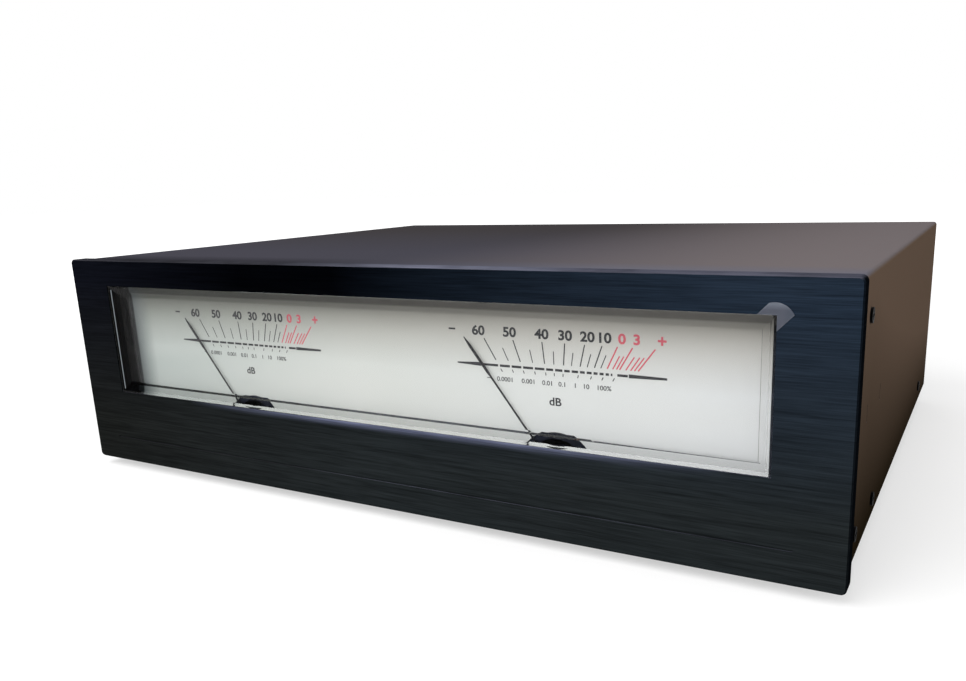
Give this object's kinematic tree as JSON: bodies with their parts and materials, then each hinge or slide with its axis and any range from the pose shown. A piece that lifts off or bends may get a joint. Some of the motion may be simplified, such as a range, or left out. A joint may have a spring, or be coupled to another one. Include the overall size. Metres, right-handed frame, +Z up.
{
  "type": "twin level meter",
  "caption": "Full-width hi-fi case with one long window, a shared white dial and a moving-coil needle meter for each channel.",
  "frame": {"origin": "on the table, under the middle of the whole object's box", "axes": "+Z up, +X to the right as seen from the front, the window faces -Y"},
  "size_m": [0.43, 0.3438, 0.123],
  "materials": {
    "panel_black": "brushed, black anodised",
    "cover_paint": "satin powder coat",
    "clear_window": "clear, polished",
    "film": "translucent film",
    "frame_black": "satin moulded",
    "dial_face": "printed opal sheet",
    "tray_white": "moulded",
    "zinc_steel": "zinc plated",
    "black_screw": "black oxide",
    "rubber": "matte",
    "foot_plastic": "moulded",
    "circuit_board": "solder resist",
    "white_board": "white solder resist",
    "led": "phosphor",
    "movement_black": "moulded",
    "soft_iron": "plated soft iron",
    "magnet": "cast magnet alloy",
    "brass": "turned",
    "spring_bronze": "rolled strip",
    "former_aluminium": "bright",
    "winding_copper": "enamelled copper wire",
    "needle_black": "matt black",
    "pivot_steel": "polished",
    "can_sleeve": "shrink sleeve",
    "chip_black": "moulded epoxy",
    "header_white": "nylon",
    "ribbon_grey": "flat cable",
    "gold_plate": "gold plated",
    "socket_insulator": "coloured insulator",
    "socket_black": "moulded",
    "rocker_black": "polished moulding",
    "knob_black": "turned, black anodised"
  },
  "bodies": {
    "case": {"front_panel": "panel_black", "window_lens": "clear_window", "film_tab": "film", "window_frame": "frame_black", "dial_plate": "dial_face", "meter_tray": "tray_white", "frame_screws": "zinc_steel", "panel_brackets": "zinc_steel", "panel_screws": "zinc_steel", "top_cover": "cover_paint", "base_tray": "cover_paint", "rear_panel": "cover_paint", "side_screws": "black_screw", "rear_screws": "black_screw", "feet": "foot_plastic", "foot_pads": "rubber", "foot_screws": "zinc_steel", "backlight_board": "white_board", "backlight_leds": "led", "jewel_screws": "brass", "bridge_screws": "zinc_steel", "movement_screws": "zinc_steel", "driver_board": "circuit_board", "board_standoffs": "brass", "board_screws": "zinc_steel", "board_capacitors": "can_sleeve", "board_chips": "chip_black", "board_headers": "header_white", "meter_ribbons": "ribbon_grey", "rca_shells": "gold_plate", "rca_nuts": "gold_plate", "rca_insulators": "socket_insulator", "dc_jack": "socket_black", "rocker_housing": "socket_black", "level_pots": "zinc_steel", "left_housing": "movement_black", "left_yoke_ring": "soft_iron", "left_core_magnet": "magnet", "left_front_bridge": "brass", "left_hairsprings": "spring_bronze", "right_housing": "movement_black", "right_yoke_ring": "soft_iron", "right_core_magnet": "magnet", "right_front_bridge": "brass", "right_hairsprings": "spring_bronze"},
    "left_needle": {"left_coil_former": "former_aluminium", "left_coil_winding": "winding_copper", "left_coil_pivots": "pivot_steel", "left_pointer": "needle_black", "left_balance_weights": "brass"},
    "right_needle": {"right_coil_former": "former_aluminium", "right_coil_winding": "winding_copper", "right_coil_pivots": "pivot_steel", "right_pointer": "needle_black", "right_balance_weights": "brass"},
    "rocker": {"power_rocker": "rocker_black"},
    "left_knob": {"left_level_shaft": "pivot_steel", "left_level_knob": "knob_black"},
    "right_knob": {"right_level_shaft": "pivot_steel", "right_level_knob": "knob_black"}
  },
  "joints": [
    {"name": "left_needle_swing", "type": "hinge", "parent": "case", "child": "left_needle", "pos_m": [-0.091, -0.15877, 0.0325], "axis": [0, 1, 0], "range_deg": [0, 75], "stiffness_Nm_per_rad": 0.00006},
    {"name": "right_needle_swing", "type": "hinge", "parent": "case", "child": "right_needle", "pos_m": [0.091, -0.15877, 0.0325], "axis": [0, 1, 0], "range_deg": [0, 75], "stiffness_Nm_per_rad": 0.00006},
    {"name": "power_rocker_tilt", "type": "hinge", "parent": "case", "child": "rocker", "pos_m": [-0.172, 0.15463, 0.067], "axis": [1, 0, 0], "range_deg": [0, 14]},
    {"name": "left_level_turn", "type": "hinge", "parent": "case", "child": "left_knob", "pos_m": [0.07, 0.16623, 0.065], "axis": [0, 1, 0], "range_deg": [-150, 150]},
    {"name": "right_level_turn", "type": "hinge", "parent": "case", "child": "right_knob", "pos_m": [0.1, 0.16623, 0.065], "axis": [0, 1, 0], "range_deg": [-150, 150]}
  ]
}
